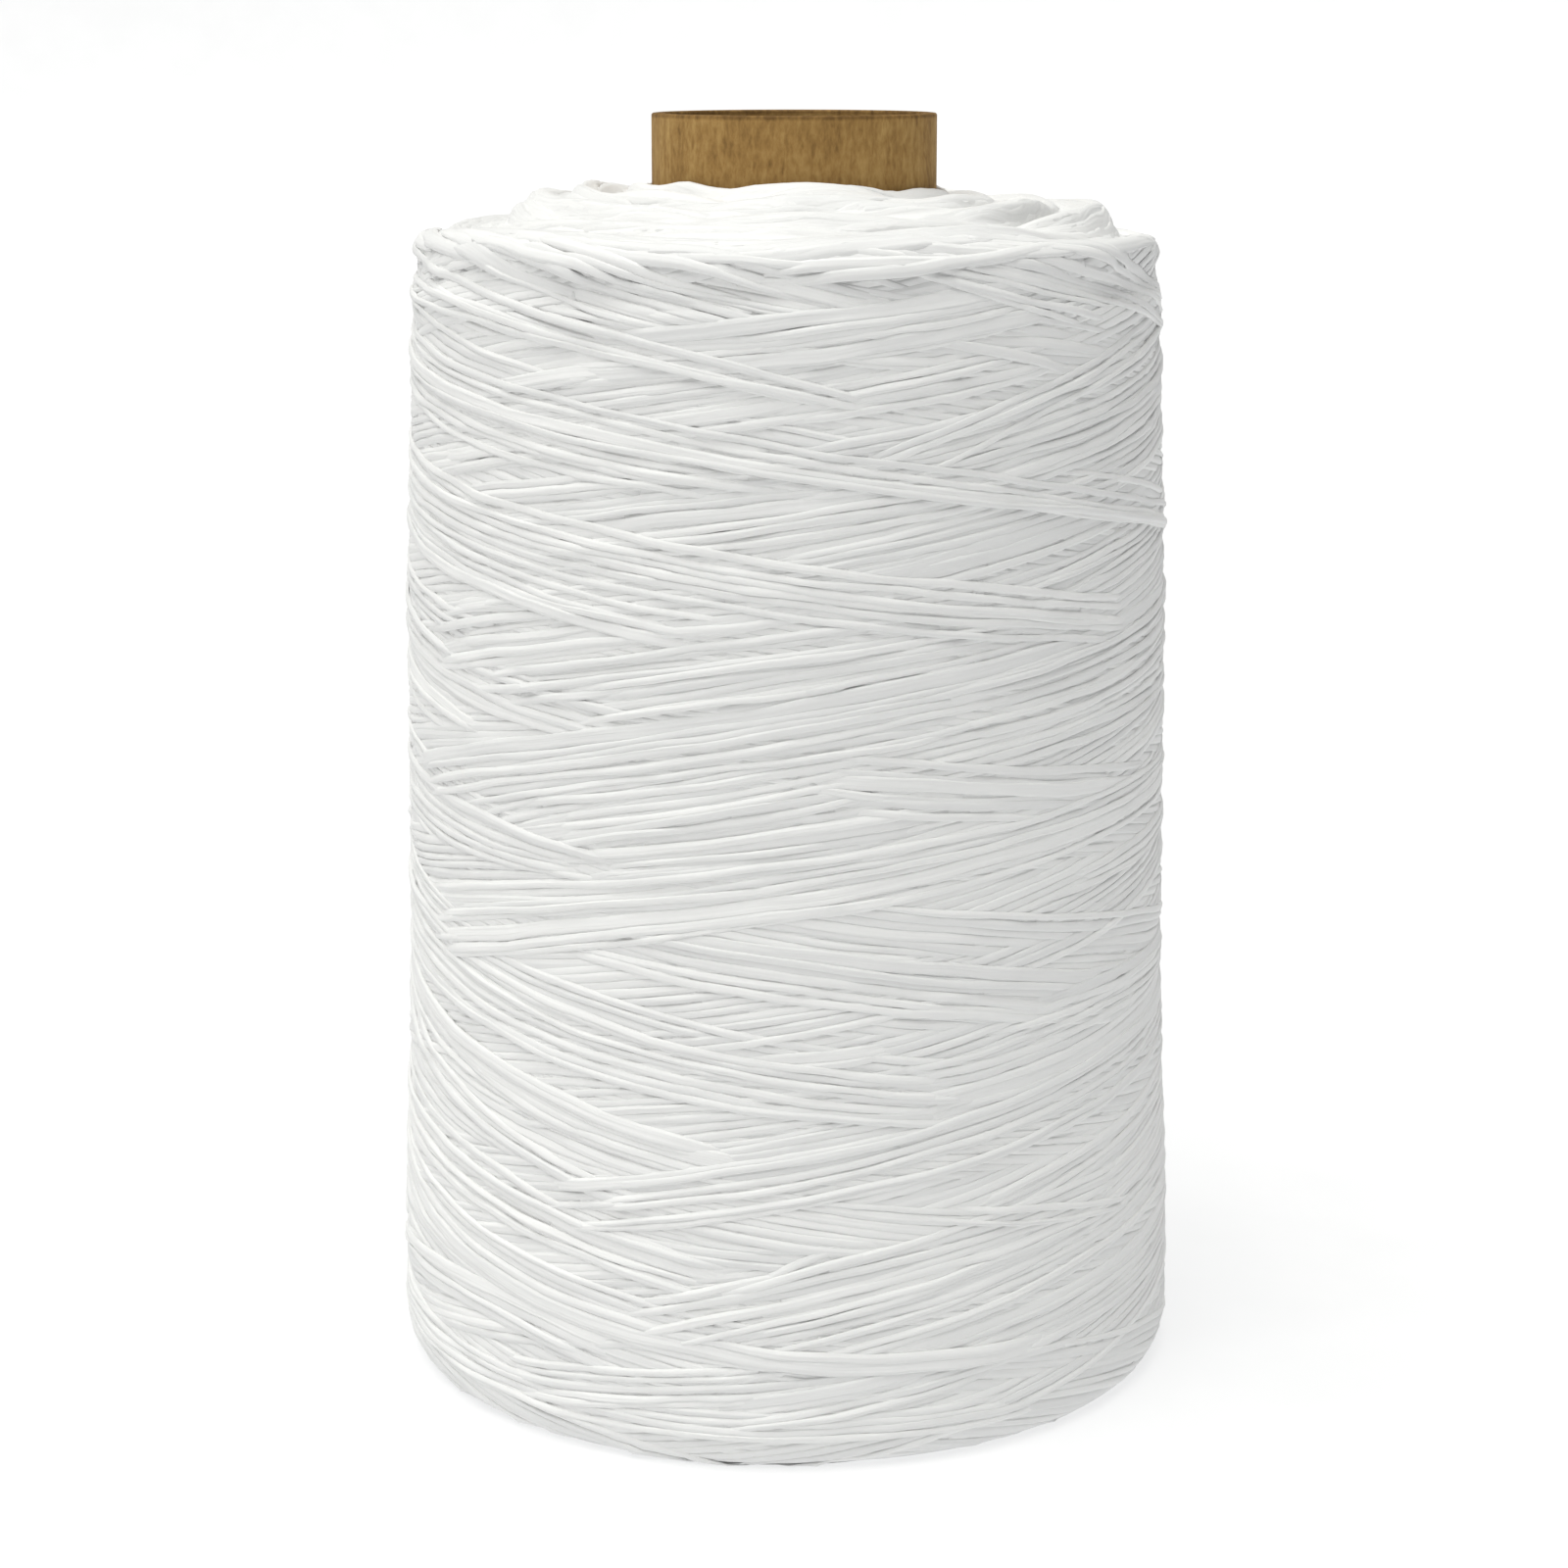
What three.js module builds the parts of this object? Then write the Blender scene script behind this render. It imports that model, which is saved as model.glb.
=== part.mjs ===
import * as THREE from "three";

// A roll of paper raffia, cross-wound on a cardboard tube and standing on one end.
// Millimetres, +Z up, the roll's front towards -Y, the origin under the middle of the winding.

// Cardboard tube
const TUBE_BORE = 38;
const TUBE_WALL = 2;
const TUBE_LENGTH = 186.8;
const TUBE_SHIFT = 1.2; // the tube sits a little to the right of the winding's middle

// Winding
const TUBE_CLEARANCE = 0.3;
const FLAT_RADIUS = 52; // the flat spot of the lower end, on which the roll stands
const SIDE_BOTTOM = 5.5;
const SIDE_TOP = 166.5;
const ROW_HEIGHT = 2.5;
const SEGMENTS = 64;

// The side's radius under the bands, from the lower corner to the shoulder
const SIDE = [
  { height: 5.5, radius: 57.5 },
  { height: 16, radius: 58.1 },
  { height: 28, radius: 57.9 },
  { height: 48, radius: 57.2 },
  { height: 72, radius: 56.9 },
  { height: 98, radius: 57.0 },
  { height: 120, radius: 56.7 },
  { height: 142, radius: 55.9 },
  { height: 158, radius: 55.4 },
  { height: 166.5, radius: 54.7 },
];

// The lower corner, rounded by the last turns
const LOWER_CORNER = [
  { height: 0.7, radius: 54.8 },
  { height: 2.6, radius: 56.7 },
];

// The domed upper end, from the shoulder in to the tube
const UPPER_END = [
  { height: 168.6, radius: 53.6 },
  { height: 170.4, radius: 51.2 },
  { height: 171.8, radius: 47.6 },
  { height: 173.0, radius: 43.0 },
  { height: 173.8, radius: 37.5 },
  { height: 173.9, radius: 31.5 },
  { height: 173.6, radius: 26.0 },
];

// Low swellings and hollows of the upper end, by their angle from the front
const UPPER_LUMPS = [
  { angle: -62, spread: 30, rise: -1.0 },
  { angle: -18, spread: 24, rise: 0.5 },
  { angle: 40, spread: 30, rise: 0.9 },
  { angle: 105, spread: 34, rise: -0.6 },
  { angle: 160, spread: 30, rise: 0.7 },
  { angle: 222, spread: 32, rise: -0.7 },
];

// How a pass of the ribbon lies on what it crosses
const BAND_LIFT = 1.05;
const BAND_FOLLOW = 0.35; // share of the relief underneath that still shows through
const BAND_EDGE = 2.2; // width of a band's rounded edge
const BAND_END = 7; // degrees over which a band dives under its neighbours

// Main passes on the front, in the order in which they were wound. Angles are in degrees
// from the front, positive to the right; height is the band's middle at the front, and
// slope its rise in mm for each degree.
const FRONT_BANDS = [
  { height: 12.5, slope: 0.15, from: -38, to: 44, width: 7 },
  { height: 30.0, slope: 0.19, from: 24, to: 80, width: 7 },
  { height: 26.0, slope: -0.19, from: -76, to: -12, width: 8 },
  { height: 18.8, slope: -0.09, from: -76, to: 46, width: 5 },
  { height: 35.5, slope: -0.2, from: -78, to: 14, width: 4 },
  { height: 46.5, slope: -0.175, from: -80, to: -6, width: 9 },
  { height: 56.5, slope: -0.15, from: -80, to: 34, width: 8 },
  { height: 71.5, slope: -0.14, from: -28, to: 80, width: 12 },
  { height: 62.0, slope: -0.16, from: -80, to: -50, width: 7 },
  { height: 45.5, slope: 0.16, from: -42, to: 80, width: 9 },
  { height: 26.0, slope: 0.17, from: -22, to: 62, width: 10 },
  { height: 82.5, slope: -0.13, from: -80, to: -26, width: 7 },
  { height: 97.5, slope: -0.14, from: 0, to: 68, width: 8 },
  { height: 96.5, slope: 0.15, from: -36, to: 80, width: 8 },
  { height: 101.0, slope: -0.16, from: -80, to: -28, width: 10 },
  { height: 86.0, slope: 0.18, from: -62, to: 80, width: 14 },
  { height: 108.0, slope: 0.12, from: -5, to: 80, width: 7 },
  { height: 114.5, slope: 0.15, from: -54, to: 46, width: 13 },
  { height: 104.5, slope: 0.17, from: -68, to: 44, width: 8 },
  { height: 134.0, slope: 0.15, from: -40, to: 52, width: 9 },
  { height: 134.0, slope: 0.17, from: 26, to: 80, width: 8 },
  { height: 124.0, slope: -0.16, from: -80, to: 62, width: 12 },
  { height: 158.5, slope: -0.11, from: 8, to: 54, width: 5 },
  { height: 158.0, slope: 0.16, from: -32, to: 42, width: 9 },
  { height: 146.0, slope: 0.165, from: -20, to: 80, width: 10 },
  { height: 150.5, slope: -0.2, from: -76, to: 8, width: 7 },
  { height: 163.0, slope: -0.13, from: -64, to: 20, width: 6 },
  { height: 170.5, slope: -0.18, from: 22, to: 80, width: 7 },
  { height: 141.0, slope: -0.17, from: -80, to: 80, width: 9 },
];

// The passes on the back follow the winding's own rhythm
const BACK_MIDDLE = 180;
const BACK_HALF_SPAN = 104;
const BACK_WIDTH = 11;
const BACK_SPACING = 20.4;
const BACK_ROWS = 9;
const MEAN_SLOPE = 0.165;

function backBands() {
  const bands = [];
  for (let row = 0; row < BACK_ROWS; row += 1) {
    for (const way of row % 2 ? [1, -1] : [-1, 1]) {
      bands.push({
        height: row * BACK_SPACING + (way > 0 ? BACK_SPACING / 2 : 0) - MEAN_SLOPE * way * BACK_MIDDLE,
        slope: MEAN_SLOPE * way,
        from: BACK_MIDDLE - BACK_HALF_SPAN,
        to: BACK_MIDDLE + BACK_HALF_SPAN,
        width: BACK_WIDTH,
      });
    }
  }
  return bands;
}

const BANDS = [...backBands(), ...FRONT_BANDS];

const { smoothstep, lerp, degToRad } = THREE.MathUtils;

// The share of a band that lies at a place: 1 on it, 0 off it
function coverage(band, degrees, height) {
  const middle = band.height + band.slope * degrees;
  const half = band.width / 2;
  const across = 1 - smoothstep(Math.abs(height - middle), half - BAND_EDGE / 2, half + BAND_EDGE / 2);
  const start = smoothstep(degrees, band.from, band.from + BAND_END);
  const end = 1 - smoothstep(degrees, band.to - BAND_END, band.to);
  return across * start * end;
}

// How far the bands stand proud at a place
function relief(degrees, height) {
  let rise = 0;
  for (const band of BANDS) {
    const turn = degrees < band.from ? 360 : 0;
    const share = coverage(band, degrees + turn, height);
    rise = lerp(rise, BAND_FOLLOW * rise + BAND_LIFT, share);
  }
  return rise;
}

function lumps(degrees) {
  let rise = 0;
  for (const lump of UPPER_LUMPS) {
    const away = Math.abs(((degrees - lump.angle + 540) % 360) - 180);
    rise += lump.rise * (1 - smoothstep(away, 0, 2 * lump.spread));
  }
  return rise;
}

function sideRadius(height) {
  const next = SIDE.findIndex((row) => row.height >= height);
  const above = SIDE[Math.max(next, 1)];
  const below = SIDE[Math.max(next, 1) - 1];
  const share = (height - below.height) / (above.height - below.height);
  return lerp(below.radius, above.radius, share);
}

// The stations of the winding's section, from the bore's foot out, up the side, over the
// upper end and back to the bore. bands is how much of the bands' relief shows there, and
// lift how much of the upper end's lumps.
function sectionStations() {
  const bore = TUBE_BORE / 2 + TUBE_WALL + TUBE_CLEARANCE;
  const rows = Math.round((SIDE_TOP - SIDE_BOTTOM) / ROW_HEIGHT);
  const stations = [
    { height: 0, radius: bore, bands: 0, lift: 0 },
    { height: 0, radius: FLAT_RADIUS, bands: 0, lift: 0 },
  ];
  for (const row of LOWER_CORNER) {
    stations.push({ ...row, bands: row.height / SIDE_BOTTOM, lift: 0 });
  }
  for (let row = 0; row <= rows; row += 1) {
    const height = lerp(SIDE_BOTTOM, SIDE_TOP, row / rows);
    stations.push({ height, radius: sideRadius(height), bands: 1, lift: 0 });
  }
  for (const row of UPPER_END) {
    const inward = (row.radius - bore) / (sideRadius(SIDE_TOP) - bore);
    stations.push({ ...row, bands: 0.5 * inward ** 4, lift: 1 - inward ** 6 });
  }
  const rim = UPPER_END[UPPER_END.length - 1].height - 0.4;
  stations.push({ height: rim, radius: bore, bands: 0, lift: 0.6 });
  return stations;
}

// A closed ring-shaped solid from its section's stations, turned about the vertical. The
// rings move over from the winding's middle at the side to the tube's at the bore.
function windingGeometry() {
  const stations = sectionStations();
  const bore = stations[0].radius;
  const outer = sideRadius(SIDE_TOP);
  const positions = [];
  for (const station of stations) {
    const inner = 1 - THREE.MathUtils.clamp((station.radius - bore) / (outer - bore), 0, 1);
    for (let segment = 0; segment < SEGMENTS; segment += 1) {
      const degrees = (360 * segment) / SEGMENTS - 90;
      const angle = degToRad(degrees);
      const radius = station.radius + station.bands * relief(degrees, station.height);
      positions.push(
        radius * Math.sin(angle) + TUBE_SHIFT * inner,
        -radius * Math.cos(angle),
        station.height + station.lift * lumps(degrees),
      );
    }
  }
  const geometry = new THREE.BufferGeometry();
  geometry.setAttribute("position", new THREE.Float32BufferAttribute(positions, 3));
  geometry.setIndex(ringFaces(stations.length, positions));
  geometry.computeVertexNormals();
  return geometry;
}

// Two triangles for each cell of the ring grid, split along the flatter diagonal
function ringFaces(rings, positions) {
  const place = (index) => new THREE.Vector3().fromArray(positions, 3 * index);
  const faces = [];
  for (let ring = 0; ring < rings; ring += 1) {
    const low = ring * SEGMENTS;
    const high = ((ring + 1) % rings) * SEGMENTS;
    for (let segment = 0; segment < SEGMENTS; segment += 1) {
      const next = (segment + 1) % SEGMENTS;
      const corners = [low + segment, low + next, high + next, high + segment];
      const [a, b, c, d] = corners;
      const rising = place(a).distanceTo(place(c));
      const falling = place(b).distanceTo(place(d));
      if (rising <= falling) {
        faces.push(a, b, c, a, c, d);
      } else {
        faces.push(a, b, d, b, c, d);
      }
    }
  }
  return faces;
}

// The tube's wall as a closed section, turned about the vertical
function tubeGeometry() {
  const inner = TUBE_BORE / 2;
  const outer = inner + TUBE_WALL;
  const section = [
    new THREE.Vector2(inner, 0),
    new THREE.Vector2(outer, 0),
    new THREE.Vector2(outer, TUBE_LENGTH),
    new THREE.Vector2(inner, TUBE_LENGTH),
    new THREE.Vector2(inner, 0),
  ];
  return new THREE.LatheGeometry(section, SEGMENTS).rotateX(Math.PI / 2);
}

const paper = new THREE.MeshStandardMaterial({
  name: "white_paper_raffia",
  color: 0xf2f2f0,
  roughness: 0.62,
  metalness: 0,
});

const kraft = new THREE.MeshStandardMaterial({
  name: "kraft_cardboard",
  color: 0xa07841,
  roughness: 0.85,
  metalness: 0,
});

const winding = new THREE.Mesh(windingGeometry(), paper);
winding.name = "raffia_winding";

const tube = new THREE.Mesh(tubeGeometry(), kraft);
tube.name = "cardboard_tube";
tube.position.x = TUBE_SHIFT;

const roll = new THREE.Group();
roll.add(winding, tube);

export default roll;
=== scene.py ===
import math
from collections import namedtuple

import bpy
import numpy as np
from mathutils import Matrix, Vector


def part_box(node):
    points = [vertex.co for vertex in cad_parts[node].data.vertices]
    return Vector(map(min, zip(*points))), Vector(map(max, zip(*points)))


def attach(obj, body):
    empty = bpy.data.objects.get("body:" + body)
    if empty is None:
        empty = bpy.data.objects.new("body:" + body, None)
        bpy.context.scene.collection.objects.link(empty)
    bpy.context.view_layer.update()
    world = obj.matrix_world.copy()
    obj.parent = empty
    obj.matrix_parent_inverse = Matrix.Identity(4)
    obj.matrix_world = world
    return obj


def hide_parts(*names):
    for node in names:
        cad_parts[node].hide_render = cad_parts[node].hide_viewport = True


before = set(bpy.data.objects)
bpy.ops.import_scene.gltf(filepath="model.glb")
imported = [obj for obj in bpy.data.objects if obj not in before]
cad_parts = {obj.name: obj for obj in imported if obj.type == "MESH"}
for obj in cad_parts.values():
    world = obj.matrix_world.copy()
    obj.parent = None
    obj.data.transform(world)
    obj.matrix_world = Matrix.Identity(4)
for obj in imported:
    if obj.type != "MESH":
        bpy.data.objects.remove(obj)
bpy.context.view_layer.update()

# A roll of paper raffia, cross-wound on a cardboard tube. The winding is worked out in
# millimetres and made in metres. Angles are in degrees from the front, positive to the right.
MM = 0.001

# Tube, read from the frame
TUBE_LOW, TUBE_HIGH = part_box("cardboard_tube")
TUBE_X = (TUBE_LOW.x + TUBE_HIGH.x) / 2 / MM
TUBE_RADIUS = (TUBE_HIGH.x - TUBE_LOW.x) / 2 / MM
TUBE_HEIGHT = TUBE_HIGH.z / MM
TUBE_WALL = 2.0
TUBE_RIM_ROUNDING = 0.4

# How close the winding comes to the tube, and the height under which the turns on the
# underside are pressed together
TUBE_GAP = 0.15
FLATTENED = 0.4

# How finely the winding's heights are kept: in degrees round it and in mm along its
# section. A strand has a point at each STEP_ALONG mm, and every ROW_EVERY-th one is meshed.
STEP_DEG = 0.5
STEP_S = 0.25
STEP_ALONG = 0.5
ROW_EVERY = 4
MEAN_RADIUS = 57
STEP_AROUND = math.radians(STEP_DEG) * MEAN_RADIUS

# Strands
STRAND_WIDTH = 1.28
STRAND_THICK = (0.2, 0.36)
BROAD_SHARE = 0.14  # of the strands in a band, folded flat and lying broad
EDGE_SHAPE = 2.6  # the higher, the squarer a strand's edges
CREASE_DEPTH = 0.3
CREASE_WIDTH = 0.3
RIDGE_DEPTH = 0.28  # of the ridges along a broad strand, as a share of its thickness
UNDERSIDE = 0.5  # how far a strand's underside lies below its upper side
UNDERSIDE_END = 1.0

# How a strand's width, thickness, crease and ridges wander along it: over what length in mm,
# and by how much
WIDTH_WANDER = (45, 0.12)
THICK_WANDER = (24, 0.22)
CREASE_WANDER = (34, 1.1)
RIDGE_WANDER = (40, 0.35)

# How a strand lies: it bridges hollows up to BRIDGE_REACH long, leans by no more than
# MOST_LEAN of its width, and sinks under its neighbours over SINK_LENGTH at its ends
BRIDGE_REACH = 9.0
TAUTNESS = 0.55
MOST_LEAN = 0.5
SINK_LENGTH = 12.0
SINK_DEPTH = 0.9

# How far below the outside a strand may lie and still be made
HIDDEN_DEPTH = 0.05
HIDDEN_DEPTH_END = 0.45

# The bed under the strands that show
BED_STEPS = 288
BED_EVERY = 4
BED_REACH = 0.75
BED_DEPTH = 0.12

# The winding's mean height over its section, and how evenly the layers settle to it
SETTLED = 1.0
EVENNESS = 0.9
SETTLE_REACH = 3.0
SETTLE_EVERY = 8

# How far a strand stays below or above the level of its neighbours, the share of what lies
# further that is kept, and over what reach, round the roll and along it, that level is taken
DEEPEST = 0.22
DEEPER_KEPT = 0.15
PROUDEST = 0.38
PROUDER_KEPT = 0.3
LEVEL_REACH = (2.5, 1.5)

# The turns are pressed flatter on the upper end. On the front's lower right, between these
# angles and below these heights, they lie tighter and smoother.
END_PRESSED = 0.35
END_PRESSED_FROM = (-1, 7)
TIGHT_PRESSED = 0.35
TIGHT_FROM = (5, 60)
TIGHT_TO = (150, 100)
TIGHT_BELOW = (95, 45)

rng = np.random.default_rng(11)


# Camera

CAMERA_DISTANCE = 0.5006
CAMERA_HEIGHT = 0.1981
CAMERA_TILT = 10.43
CAMERA_LENS = 77.18
CAMERA_SHIFT_X = -0.0013
CAMERA_SHIFT_Y = -0.0834


def make_camera():
    data = bpy.data.cameras.new("camera")
    data.sensor_width = 36
    data.lens = CAMERA_LENS
    data.shift_x = CAMERA_SHIFT_X
    data.shift_y = CAMERA_SHIFT_Y
    camera = bpy.data.objects.new("camera", data)
    bpy.context.scene.collection.objects.link(camera)
    camera.location = (0, -CAMERA_DISTANCE, CAMERA_HEIGHT)
    camera.rotation_euler = (math.radians(90 - CAMERA_TILT), 0, 0)
    bpy.context.scene.camera = camera


make_camera()


# The winding's section: radius and height in mm, from the underside by the tube, out and
# up the side, over the shoulder and in to the tube again.
Knot = namedtuple("Knot", "radius height")

SECTION = [
    Knot(21.6, 1.2), Knot(32.0, 1.2), Knot(42.0, 1.2), Knot(51.0, 1.1), Knot(55.2, 1.1),
    Knot(57.1, 2.0), Knot(57.8, 4.7), Knot(57.9, 13.0), Knot(57.6, 28.0), Knot(56.6, 48.0),
    Knot(56.1, 72.0), Knot(55.9, 98.0), Knot(55.6, 120.0), Knot(54.8, 142.0),
    Knot(54.3, 157.0), Knot(54.0, 162.0), Knot(53.7, 165.4), Knot(53.0, 167.0),
    Knot(51.8, 168.1), Knot(49.6, 168.9), Knot(46.0, 169.9), Knot(42.0, 171.1),
    Knot(38.0, 172.4), Knot(33.0, 173.5), Knot(26.0, 174.3), Knot(21.6, 174.7),
]

# Low swellings and hollows of the upper end: where each lies, by its angle from the front
# and its distance from the middle, how far it spreads and how high it stands
Lump = namedtuple("Lump", "angle spread radius reach rise")

LUMPS = [
    Lump(-88, 34, 43, 4, -1.0), Lump(-84, 26, 52, 4, 0.5), Lump(-70, 40, 33, 6, 0.7),
    Lump(92, 40, 45, 5, 0.7), Lump(80, 40, 31, 6, -0.6), Lump(-34, 22, 50, 4, 0.7),
    Lump(-6, 18, 44, 5, 0.9), Lump(22, 16, 50, 4, 0.8), Lump(46, 24, 42, 6, -0.7),
    Lump(12, 18, 25, 4, 0.9), Lump(-40, 24, 36, 5, -0.6), Lump(62, 20, 50, 4, 0.5),
    Lump(20, 22, 34, 5, 0.5), Lump(150, 36, 44, 7, 0.8), Lump(205, 34, 48, 7, -0.8),
    Lump(240, 30, 36, 7, 0.6), Lump(-4, 42, 50.8, 2.6, 1.3), Lump(97, 34, 44.6, 2.0, 0.9),
    Lump(92, 34, 50.4, 1.6, -0.5), Lump(106, 34, 39.5, 2.6, -0.4), Lump(-86, 26, 37.8, 2.2, 0.35),
    Lump(-98, 46, 27, 4, -0.9), Lump(108, 40, 28, 4, -0.6), Lump(130, 30, 36, 3, -0.6),
    Lump(-134, 30, 34.5, 3, -0.8),
]

# Small folds between them, long in the direction of the turns
FOLDS = 90
FOLD_SPREADS = (9, 24)
FOLD_RADII = (23, 54)
FOLD_REACHES = (1.0, 2.2)
FOLD_RISES = (-0.26, 0.26)
MOST_RISE = 1.5


def smooth(value, low, high):
    share = np.clip((value - low) / (high - low), 0, 1)
    return share * share * (3 - 2 * share)


def section_curve():
    """The section as an even run of radius, height and outward normal."""
    knots = np.array(SECTION)
    padded = np.vstack([2 * knots[0] - knots[1], knots, 2 * knots[-1] - knots[-2]])
    fine = []
    for a, b, c, d in zip(padded, padded[1:], padded[2:], padded[3:]):
        t = np.linspace(0, 1, 40, endpoint=False)[:, None]
        fine.append(0.5 * (2 * b + (c - a) * t + (2 * a - 5 * b + 4 * c - d) * t ** 2
                           + (3 * b - a - 3 * c + d) * t ** 3))
    fine = np.vstack(fine + [knots[-1:]])
    length = np.concatenate([[0], np.cumsum(np.hypot(*np.diff(fine, axis=0).T))])
    even = np.arange(0, length[-1], STEP_S)
    radius = np.interp(even, length, fine[:, 0])
    height = np.interp(even, length, fine[:, 1])
    out_r = np.gradient(height, STEP_S)
    out_z = -np.gradient(radius, STEP_S)
    window = np.ones(9) / 9
    out_r = np.convolve(np.pad(out_r, 4, mode="edge"), window, mode="valid")
    out_z = np.convolve(np.pad(out_z, 4, mode="edge"), window, mode="valid")
    size = np.hypot(out_r, out_z)
    return even, radius, height, out_r / size, out_z / size


EVEN, RADIUS, HEIGHT, OUT_R, OUT_Z = section_curve()

# The side starts at this radius and ends at this height. S_SIDE holds both places.
FOOT_RADIUS = 56.4
SHOULDER_HEIGHT = 166
S_SIDE = (EVEN[RADIUS > FOOT_RADIUS][0], EVEN[HEIGHT >= SHOULDER_HEIGHT][0])


def along(height, crest):
    """Place along the section of a height on the side. A height past the shoulder or the
    foot eases off round the end, by no more than crest."""
    inside = (EVEN >= S_SIDE[0]) & (EVEN <= S_SIDE[1])
    low, high = HEIGHT[inside][[0, -1]]
    over = crest * (1 - np.exp(-np.maximum(height - high, 0) / crest))
    under = crest * (1 - np.exp(-np.maximum(low - height, 0) / crest))
    return np.interp(height, HEIGHT[inside], EVEN[inside]) + over - under


def along_end(radius):
    """Place along the section of a radius on the upper end."""
    inside = EVEN >= S_SIDE[1]
    return np.interp(-np.asarray(radius), -RADIUS[inside], EVEN[inside])


def end_lumps(degrees, s):
    """The lumps on the winding grid: none on the side, all of them on the upper end."""
    places = np.random.default_rng(5)
    folds = []
    for _ in range(FOLDS):
        folds.append(Lump(
            places.uniform(-180, 180), places.uniform(*FOLD_SPREADS),
            places.uniform(*FOLD_RADII), places.uniform(*FOLD_REACHES),
            places.choice(FOLD_RISES)))
    radius = np.interp(s, EVEN, RADIUS)
    rise = np.zeros((len(degrees), len(s)))
    for lump in LUMPS + folds:
        away = np.abs((degrees - lump.angle + 540) % 360 - 180)
        round_share = 1 - smooth(away, 0, 2 * lump.spread)
        out_share = 1 - smooth(np.abs(radius - lump.radius), 0, 2 * lump.reach)
        rise += lump.rise * round_share[:, None] * out_share[None, :]
    rise = MOST_RISE * np.tanh(rise / MOST_RISE)
    return rise * smooth(s, S_SIDE[1] - 4, S_SIDE[1] + 4)[None, :]


def surface(degrees, s, rise):
    """The point, in metres, at an angle, a place along the section and a height over it.
    What would reach below the floor is pressed together just over it."""
    radius = np.interp(s, EVEN, RADIUS)
    height = np.interp(s, EVEN, HEIGHT)
    out_r = np.interp(s, EVEN, OUT_R)
    out_z = np.interp(s, EVEN, OUT_Z)
    inner = 1 - np.clip((radius - TUBE_RADIUS) / (RADIUS.max() - TUBE_RADIUS), 0, 1)
    shift = TUBE_X * inner * inner
    radius = np.maximum(radius + rise * out_r, TUBE_RADIUS + TUBE_GAP)
    height = height + rise * out_z
    pressed = FLATTENED * np.exp(np.minimum(height, FLATTENED) / FLATTENED - 1)
    height = np.where(height < FLATTENED, pressed, height)
    angle = np.radians(degrees)
    points = np.stack([radius * np.sin(angle) + shift, -radius * np.cos(angle), height], axis=-1)
    return points * MM


# Laying the strands

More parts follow.
